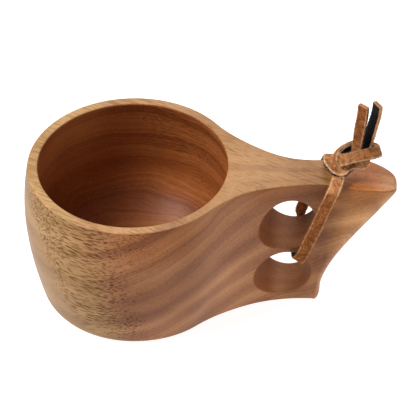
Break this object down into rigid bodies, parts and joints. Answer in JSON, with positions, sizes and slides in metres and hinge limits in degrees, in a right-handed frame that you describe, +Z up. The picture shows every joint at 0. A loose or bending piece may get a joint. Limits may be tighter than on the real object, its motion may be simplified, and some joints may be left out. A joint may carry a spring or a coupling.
{
  "type": "kuksa cup",
  "caption": "Carved wooden drinking cup with a round bowl, a full-height handle pierced by finger holes, and a knotted suede lace through the handle.",
  "frame": {"origin": "centre of the flat base under the axis of the round bowl", "axes": "+Z up along the bowl's axis, +X along the handle, symmetric about the XZ plane apart from the lace"},
  "size_m": [0.1575, 0.093, 0.1042],
  "materials": {
    "wood": "fine sanded and oiled, satin",
    "suede": "brown suede nap, black finished back"
  },
  "bodies": {
    "cup": {"cup_body": "wood"},
    "lace": {"lace_loop": "suede", "lace_knot": "suede"},
    "tail_left": {"lace_tail_left": "suede"},
    "tail_right": {"lace_tail_right": "suede"}
  },
  "joints": [
    {"name": "lace_swing", "type": "hinge", "parent": "cup", "child": "lace", "pos_m": [0.0643, 0, 0.0173], "axis": [0, 1, 0], "range_deg": [-16, 0]},
    {"name": "tail_left_bend", "type": "hinge", "parent": "lace", "child": "tail_left", "pos_m": [0.0936, -0.0015, 0.0813], "axis": [0.8808, -0.4695, -0.0616], "range_deg": [-3, 50], "stiffness_Nm_per_rad": 0.002},
    {"name": "tail_right_bend", "type": "hinge", "parent": "lace", "child": "tail_right", "pos_m": [0.098, 0.0015, 0.0804], "axis": [-0.8767, 0.4695, 0.1045], "range_deg": [-3, 50], "stiffness_Nm_per_rad": 0.002}
  ]
}
